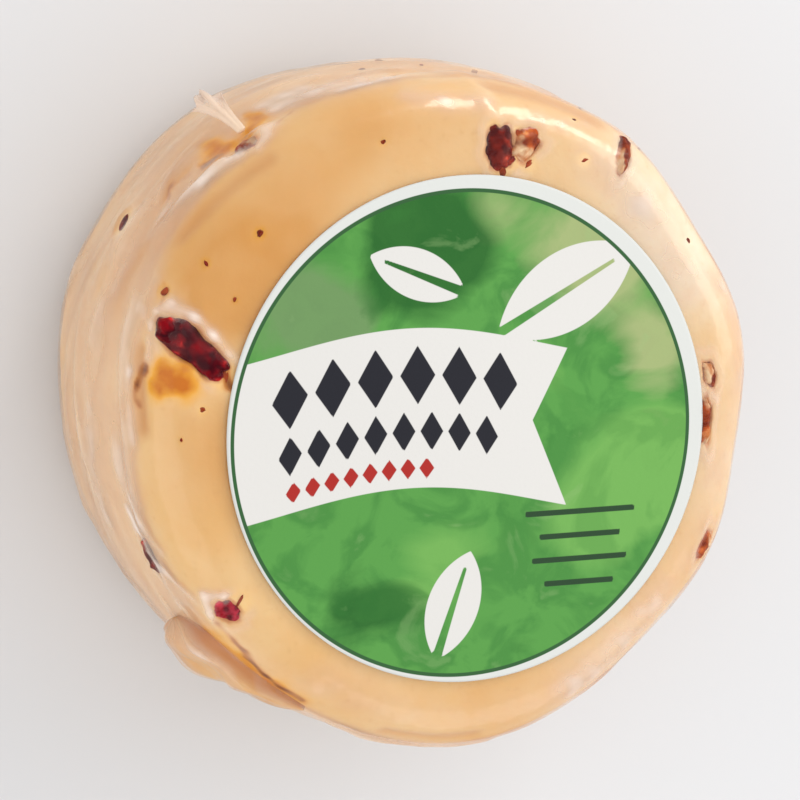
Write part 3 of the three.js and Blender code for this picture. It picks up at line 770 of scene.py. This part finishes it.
def film_finish(piece):
    """Clear film mirrors a little, and more where it is seen at a slant. By the milkiness that it holds,
    which is partly painted glare and a painted highlight, and by streaks that run round the wheel, it is
    milky instead: peach, as the cheese shines through, or white."""
    finish = new_finish(piece)
    streaks = between(finish, mottle(finish, 1, (40, 40, 190), detail=4), 0.4, 0.7, 0.85, 1.2)
    milk = reckon(finish, "MULTIPLY", mark(finish, "haze_and_glare"), streaks)
    slant = node(finish, "LayerWeight", {"Blend": 0.3}).outputs["Fresnel"]
    mirror = reckon(finish, "ADD", FILM_MIRROR, reckon(finish, "MULTIPLY", slant, SLANT_MIRROR))
    damped = between(finish, mark(finish, "touching"), 0, 1, 1, TOUCHING_MIRROR)
    mirror = reckon(finish, "MULTIPLY", mirror, damped)
    cover = reckon(finish, "ADD", between(finish, milk, 0, 1, 0, MILK_COVER), mirror)
    metal = reckon(finish, "DIVIDE", mirror, cover)
    colour = paint(
        finish, (252, 248, 242), ((254, 224, 190), milk, 0.02, 0.4), ((251, 232, 216), "white"))
    crinkle = bumps(finish, mottle(finish, 240, detail=2), 0.16)
    crinkle = bumps(finish, mottle(finish, 1, (70, 70, 400), detail=3), 0.03, crinkle)
    gloss = node(finish, "BsdfPrincipled", {
        "Base Color": colour, "Metallic": metal, "Roughness": 0.17, "Specular IOR Level": 0.5,
        "Normal": crinkle})
    clear = node(finish, "BsdfTransparent")
    surface(finish, "MixShader", {0: cover, 1: clear.outputs["BSDF"], 2: gloss.outputs["BSDF"]})


film = build_film()
film_finish(film)
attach(film, "root")
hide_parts("cheese_wheel")


# ---- the bunched film ----
# A corner of the bag that the heat has drawn into a fat pleated pocket against the wall, with oil and
# soft curd behind it. It is one with the wrap, and thins out along the shoulder.

BUNCH_AZIMUTHS = (218.8, 243)
BUNCH_STANDOFF = (6.9, 1)
BUNCH_MIDDLE = (36, 48.5)
BUNCH_HALF = (9.5, 2.4)
BUNCH_CREASE = 0.1
BUNCH_GAP = 0.3
BUNCH_WEB = (45, 3.2, 1.15)  # degrees past its top to the wall, climb on the way, share past the wall
BUNCH_ROOT = 1  # how deep its web ends in the wheel


def build_bunch(name, inset, pleat):
    """A half ball against the wall, fat at one azimuth and thin at the other. Its standoff varies with
    slow sines along it and with pleats, which are sines round and along it. Past its top the round
    section gives way to a web, which climbs evenly while it runs back to the wall."""
    share = (1 - np.cos(np.linspace(0.05, math.pi - 0.05, 110)))[:, None] / 2
    around = np.radians(full_turn(150))[:, ::-1]
    thin = share**0.6
    fullness = np.sqrt(1 - (1 - 2 * share) ** 2)
    roundness = fullness * (1 - inset)
    past_top = np.degrees(around) - 90
    web_end, web_climb, web_reach = BUNCH_WEB
    web = np.clip(past_top / web_end, 0, 1) * (past_top < 90)
    sunk = ease(past_top, web_end, 90) * (past_top < 90)
    on_web = (past_top > 0) & (past_top < 90)
    y = roundness * np.where(on_web, (web_reach - 1) * sunk - web_reach * web, np.cos(around))
    z = roundness * np.where(on_web, 1 - sunk, np.sin(around))
    crease = 1 + BUNCH_CREASE * (np.sin(9 * share + 2 * z) + np.sin(16 * share - 2.5 * z + 1))
    twist = around + 1.8 * share + 0.25 * np.sin(11 * share)
    pleats = pleat * (
        np.sin(4 * twist + 3 * share) + 0.6 * np.sin(7 * twist - 6 * share + 2.1)
        + 0.5 * np.sin(2 * around + 13 * share) + 0.25 * np.sin(15 * twist + 1.0))
    standoff = crease * (1 + pleats) * part_way(BUNCH_STANDOFF, thin)
    half = part_way(BUNCH_HALF, thin) * (1 + 0.4 * pleats)
    height = part_way(BUNCH_MIDDLE, share) + half * z
    height = height + web_climb * web * (1 - sunk) * roundness * (1 - thin**4)
    azimuth = part_way(BUNCH_AZIMUTHS, share)
    level = height - LOWER_SHOULDER + LOWER_ARC
    wall, _ = wheel_outside(azimuth, level, folded(azimuth, level))
    along = spun(1, np.radians(azimuth), 0)
    gap = BUNCH_GAP - BUNCH_ROOT * web * (1 - sunk)
    points = wall + along * (gap + 0.5 * standoff * (y + fullness))[..., None]
    # A painted highlight: a milky pale patch on the knob, where a lamp would glint.
    painted_highlight = bell(share - 0.2, 0.1) * bell(around - 1.2, 0.45)
    haze_and_glare = np.clip(0.04 + 1.6 * pleats + 0.55 * painted_highlight + 0.35 * (1 - ease(share, 0.0, 0.2)), 0, 0.9)
    haze_and_glare = haze_and_glare * (1 - 0.85 * web)
    # The web, which runs back into the crevice against the wall, is painted deeper amber brown: partly
    # oil, partly painted shade.
    marks = {"haze_and_glare": haze_and_glare, "white": 0.8 * painted_highlight, "touching": np.sqrt(web), "oil_and_shade": web**0.6}
    return closed_skin(name, points, marks)


bunch = build_bunch("film_bunch", 0.0, 0.05)
film_finish(bunch)
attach(bunch, "root")
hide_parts("film_ear")

curd = build_bunch("bunch_curd", 0.1, 0.03)
finish = new_finish(curd)
clouds = between(finish, mottle(finish, 160, detail=4), 0.35, 0.7)
# Deeper amber brown on the web: partly oil, partly painted shade of the crevice.
colour = paint(
    finish, (234, 182, 112), ((216, 148, 70), clouds), ((192, 112, 18), "oil_and_shade", 0.05, 0.7, 0.9))
surface(finish, "BsdfPrincipled", {
    "Base Color": colour, "Roughness": 0.35, "Specular IOR Level": 0.5, "Coat Weight": 0.5,
    "Coat Roughness": 0.15, "Subsurface Weight": 0.2, "Subsurface Radius": (1.0, 0.7, 0.4),
    "Subsurface Scale": 2 * MM, "Normal": bumps(finish, mottle(finish, 420, detail=4), 0.15)})
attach(curd, "root")
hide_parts("film_ear")


# ---- the loose end of the film ----
# A twisted strip of doubled film that sticks out of the shoulder. It is narrow at its root, where it
# is welded into the wrap, and opens into a pleated tip that was torn off.

TAIL_AZIMUTH = 125.5
TAIL_ROOT = 43.5
TAIL_TIP = 35.5
TAIL_REACH = 6
TAIL_BOW = 1.6
TAIL_HALVES = (0.8, 3.3)
TAIL_TWIST = 14


def build_tail():
    """A flat tube along a parabola from root to tip. Its half width grows along it, its section turns
    with it, and its two sides lie in pleats, sines across the width that grow towards the tip."""
    share = np.linspace(0.002, 0.998, 90)[:, None]
    around = np.radians(full_turn(128))
    along = spun(1, math.radians(TAIL_AZIMUTH), 0)
    side = spun(1, math.radians(TAIL_AZIMUTH + 90), 0)
    root_level = TAIL_ROOT - LOWER_SHOULDER + LOWER_ARC
    root, _ = wheel_outside(TAIL_AZIMUTH, root_level, folded(TAIL_AZIMUTH, root_level))
    root = root + along * (0.1 + 1.5 * TAIL_HALVES[0])
    tip = root + along * TAIL_REACH
    tip[2] = TAIL_TIP
    bend = (root + tip) / 2 + along * TAIL_BOW
    across = np.cos(around)
    torn = 1 + 0.1 * np.sin(4 * across + 0.6) + 0.06 * np.sin(13 * across + 1)
    path_share = (share * torn)[..., None]
    path = (1 - path_share) ** 2 * root + 2 * path_share * (1 - path_share) * bend + path_share**2 * tip
    tangent = 2 * (1 - share) * (bend - root) + 2 * share * (tip - bend)
    tangent /= np.linalg.norm(tangent, axis=1)[:, None]
    angle = np.radians(TAIL_TWIST) * share
    wide = side * np.cos(angle) + np.cross(tangent, side) * np.sin(angle)
    through = np.cross(tangent, wide)
    half = part_way(TAIL_HALVES, share**1.7)
    rounded = np.sqrt(np.clip(1 - ((share - 0.5) / 0.5) ** 40, 0, 1))
    frill = share * np.sin(8 * across + 2 * share)
    pleat = 0.3 * half * share * np.sin(3.2 * across + 1) + 0.16 * frill
    thick = (0.2 + 0.3 * (1 - share)) * np.sin(around)
    points = path + (half * rounded * across)[..., None] * wide[:, None]
    points = points + (pleat + thick * rounded)[..., None] * through[:, None]
    haze_and_glare = np.clip(0.4 + 0.25 * frill + 0.35 * (1 - share), 0, 1)
    marks = {"haze_and_glare": haze_and_glare, "white": 0.25 + 0.5 * share, "touching": 0}
    return closed_skin("film_tail_end", points, marks)


tail = build_tail()
film_finish(tail)
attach(tail, "root")
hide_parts("film_tail")


# ---- the label ----
# A round sticker of satin paper on the film, die cut, with its print a little off centre. The print is
# plain: a washed green ground in a dark ring, a pale ribbon and leaves, and rows of lozenges.

LABEL_RADIUS = 40.0
LABEL_THICKNESS = 0.22
LABEL_LIFT = 0.12
RIM_PRESS = 0.03  # how much thinner the cut has pressed its rim
PRINT_SHIFT = np.array([-0.9, -0.6])
RING_RADIUS = 38.3
# Leaves of the print: middle, turn, half length and half width.
LEAVES = (((17, 22), 28, 13.5, 6.2), ((-8, 25.5), 158, 8.5, 3.9), ((-2, -27), 72, 9, 4.4))
# Rows of lozenges on its ribbon: place of the first, step, count, height, half width and half height.
BLACK_ROWS = ((-29, 6.9, 6, 5.2, 2.9, 4.6), (-29, 4.6, 8, -3.6, 1.9, 3.1))
RED_ROW = (-28.5, 3.1, 8, -9.4, 1.25, 1.7)
# Its four lines: how far below the middle, and half length. Then their middle and half thickness.
LINES = ((13.2, 9.5), (17, 7), (20.8, 8.2), (24.6, 6))
LINE_MIDDLE, LINE_HALF = 19.5, 0.45
RIBBON_HALF = 12.5


def row_of_lozenges(x, y, first, step, count, height, half_wide, half_high):
    """Distance outside the nearest of a row of equal lozenges, below 0 in it: |x| / half width +
    |y| / half height - 1, scaled."""
    nearest = first + step * np.clip(np.round((x - first) / step), 0, count - 1)
    scale = half_wide * half_high / math.hypot(half_wide, half_high)
    return (np.abs(x - nearest) / half_wide + np.abs(y - height) / half_high - 1) * scale


def leaf(x, y, middle, turn, half_long, half_wide):
    """Distance outside a pointed leaf, which is where two equal circles overlap, and to its midrib."""
    angle = math.radians(turn)
    along = (x - middle[0]) * math.cos(angle) + (y - middle[1]) * math.sin(angle)
    aside = (y - middle[1]) * math.cos(angle) - (x - middle[0]) * math.sin(angle)
    radius = (half_long**2 + half_wide**2) / (2 * half_wide)
    edge = np.hypot(along, np.abs(aside) + radius - half_wide) - radius
    rib = np.maximum(np.abs(aside) - 0.5 + 0.3 * along / half_long, along - 0.7 * half_long)
    return np.maximum(edge, -rib)


def over_ribbon(x, y):
    """Height above the middle of the ribbon, which is a sine of the way across the label."""
    return y - 1.5 - 3.2 * np.sin((x + 30) / 13.5)


def ribbon(x, y):
    """Distance outside a ribbon that waves across the label and ends in a swallowtail."""
    off_middle = np.abs(over_ribbon(x, y))
    notch = 17 - 6 * (1 - off_middle / RIBBON_HALF)
    return np.maximum(off_middle - RIBBON_HALF, x - notch)


# Fields of the washed ground, from the lowest coat up: ink, and x, y, reach and strength of its spots.
FIELDS = {
    "grey": ((112, 146, 92), ((-28, 23, 10, 0.9), (-20, 15, 7, 0.5))),
    "fresh": ((116, 176, 84), ((33, -6, 10, 1), (22, -14, 9, 0.8), (-4, -20, 9, 0.7), (12, 12, 7, 0.5))),
    "olive": ((170, 180, 122), ((22, 29, 12, 1), (33, 12, 8, 0.8), (3, 35, 6, 0.5))),
    "deep": (
        (20, 92, 24), ((-6, 29, 11, 1.3), (-17, -29, 12, 0.55), (9, -33, 9, 0.4), (32, -22, 7, 0.3))),
}
PRINT_EDGE = (0.06, -0.06)  # distances outside a shape between which its ink sets in


def build_label():
    """A disc on rings and spokes that follows the dome of the face, from its back over its rim to the
    front. Its marks are distances in millimetres outside each printed shape, and, for each field, the
    sum of a bell round each of its spots."""
    back = [1, 20, LABEL_RADIUS - 2, LABEL_RADIUS]
    steps = np.concatenate([back, np.linspace(LABEL_RADIUS, 0.4, 100)])[:, None]
    depth = np.full(len(steps), LABEL_THICKNESS)
    depth[:len(back)] = 0
    depth[len(back)] -= RIM_PRESS
    turn = np.radians(full_turn(520))
    x = steps * np.cos(turn)
    y = steps * np.sin(turn)
    across, up = x + LABEL_CENTRE[0], y + LABEL_CENTRE[1]
    height = face_height(np.hypot(across, up)) + LABEL_LIFT + depth[:, None]
    points = np.stack([across, up, height], -1)
    points[..., 2] += 0.05 * ease(steps, 30, 40) * slow_waves(points, 22, 77)
    x = x - PRINT_SHIFT[0]
    y = y - PRINT_SHIFT[1]
    above = over_ribbon(x, y)
    marks = {
        "from_ring": np.hypot(x, y) - RING_RADIUS,
        "pale": np.minimum.reduce([ribbon(x, y), *(leaf(x, y, *place) for place in LEAVES)]),
        "black": np.minimum.reduce([row_of_lozenges(x, above, *row) for row in BLACK_ROWS]),
        "red": row_of_lozenges(x, above, *RED_ROW),
        "lines": np.minimum.reduce([
            np.maximum(np.abs(y + below) - LINE_HALF, np.abs(x - LINE_MIDDLE) - reach)
            for below, reach in LINES]),
    }
    for field, (_, spots) in FIELDS.items():
        marks[field] = sum(
            strength * bell(np.hypot(x - middle_x, y - middle_y), reach)
            for middle_x, middle_y, reach, strength in spots)
    return closed_skin("label_paper", points, marks)


label = build_label()
finish = new_finish(label)
wide_wash = mottle(finish, 42, detail=6, distortion=0.9)
small_wash = mottle(finish, 110, detail=6, distortion=0.7)
colour = paint(finish, (86, 154, 68), ((70, 138, 58), small_wash, 0.46, 0.56))
for field, (ink, _) in FIELDS.items():
    reach = reckon(finish, "ADD", mark(finish, field), between(finish, wide_wash, 0.3, 0.7, -0.32, 0.32))
    colour = paint(finish, colour, (ink, reach, 0.3, 0.62, 0.85))
colour = paint(
    finish, colour, ((50, 122, 44), wide_wash, 0.56, 0.6, 0.28),
    ((150, 186, 120), small_wash, 0.6, 0.66, 0.22), ((224, 221, 216), "pale", *PRINT_EDGE),
    ((34, 66, 36), "lines", *PRINT_EDGE), ((24, 24, 34), "black", *PRINT_EDGE),
    ((172, 34, 26), "red", *PRINT_EDGE), ((46, 92, 48), "from_ring", -0.42, -0.32),
    ((219, 220, 215), "from_ring", 0.18, 0.28))
fibres = mottle(finish, 1400, detail=3)
surface(finish, "BsdfPrincipled", {
    "Base Color": colour, "Roughness": between(finish, fibres, 0.3, 0.7, 0.42, 0.55),
    "Specular IOR Level": 0.3, "Normal": bumps(finish, fibres, 0.03)})
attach(label, "root")
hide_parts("label")


# ---- the floor, the light and the camera ----
# A plain pale floor. A wide lamp stands low on the far right, and three softer ones fill from the
# right, the left and the near side. The camera looks down on the label, 22 degrees off upright.

FLOOR_SIDE = 8000
FLOOR_DROP = 0.2
bpy.ops.mesh.primitive_plane_add(size=FLOOR_SIDE * MM, location=(0, 0, -FLOOR_DROP * MM))
floor = bpy.context.object
floor.name = "floor"
finish = new_finish(floor)
pale = paint(finish, (226, 226, 227), ((224, 224, 225), mottle(finish, 3, detail=1)))
surface(finish, "BsdfDiffuse", {"Color": pale})

world = bpy.data.worlds.new("studio")
bpy.context.scene.world = world
world.use_nodes = True
sky = world.node_tree.nodes["Background"].inputs
sky["Color"].default_value = (0.98, 0.99, 1.0, 1.0)
sky["Strength"].default_value = 0.9

WHEEL_MIDDLE = np.array([0, 0, WHEEL_HEIGHT / 2]) + WHEEL_AXIS


def direction(azimuth, elevation):
    """Unit vector at an azimuth and at an elevation above the floor."""
    climb = math.radians(elevation)
    return spun(math.cos(climb), math.radians(azimuth), math.sin(climb))


def facing(away, second):
    """Right and up of something that looks against a direction: its right is square to a second one."""
    right = np.cross(second, away)
    right /= np.linalg.norm(right)
    return right, np.cross(away, right)


def stand(name, data, place, right, up, away):
    """Puts a lamp or a camera at a place, turned to its three directions."""
    made = bpy.data.objects.new(name, data)
    made.location = place * MM
    made.rotation_euler = Matrix(np.column_stack([right, up, away]).tolist()).to_euler()
    bpy.context.scene.collection.objects.link(made)
    return made


def soft_lamp(name, azimuth, elevation, distance, wide, high, power, colour):
    """A rectangular lamp that faces the wheel from an azimuth, an elevation and a distance."""
    data = bpy.data.lights.new(name, "AREA")
    data.shape = "RECTANGLE"
    data.size = wide * MM
    data.size_y = high * MM
    data.energy = power
    data.color = colour
    away = direction(azimuth, elevation)
    stand(name, data, WHEEL_MIDDLE + away * distance, *facing(away, (0, 0, 1)), away)


soft_lamp("key_lamp", 56, 25, 1000, 620, 240, 2.6, (1.0, 0.99, 0.98))
soft_lamp("right_lamp", 16, 28, 1000, 700, 500, 1.5, (1.0, 0.99, 0.99))
soft_lamp("left_lamp", 195, 30, 1200, 1500, 1100, 2.2, (1.0, 0.99, 1.0))
soft_lamp("low_lamp", 300, 28, 1000, 900, 700, 1.3, (1.0, 0.99, 1.0))

CAMERA_TILT = 22.36
CAMERA_AZIMUTH = 158.29
CAMERA_DISTANCE = 700
CAMERA_AIM = (0.14, -1.20)
FOCAL_PIXELS = 4325
IMAGE_PIXELS = 800
SENSOR = 36.0

away = direction(CAMERA_AZIMUTH, 90 - CAMERA_TILT)
right, up = facing(away, (0, 1, 0))
place = WHEEL_MIDDLE + CAMERA_DISTANCE * away + CAMERA_AIM[0] * right + CAMERA_AIM[1] * up
camera_data = bpy.data.cameras.new("camera")
camera_data.sensor_width = SENSOR
camera_data.lens = FOCAL_PIXELS / IMAGE_PIXELS * SENSOR
bpy.context.scene.camera = stand("camera", camera_data, place, right, up, away)
bpy.context.scene.view_settings.view_transform = "Standard"
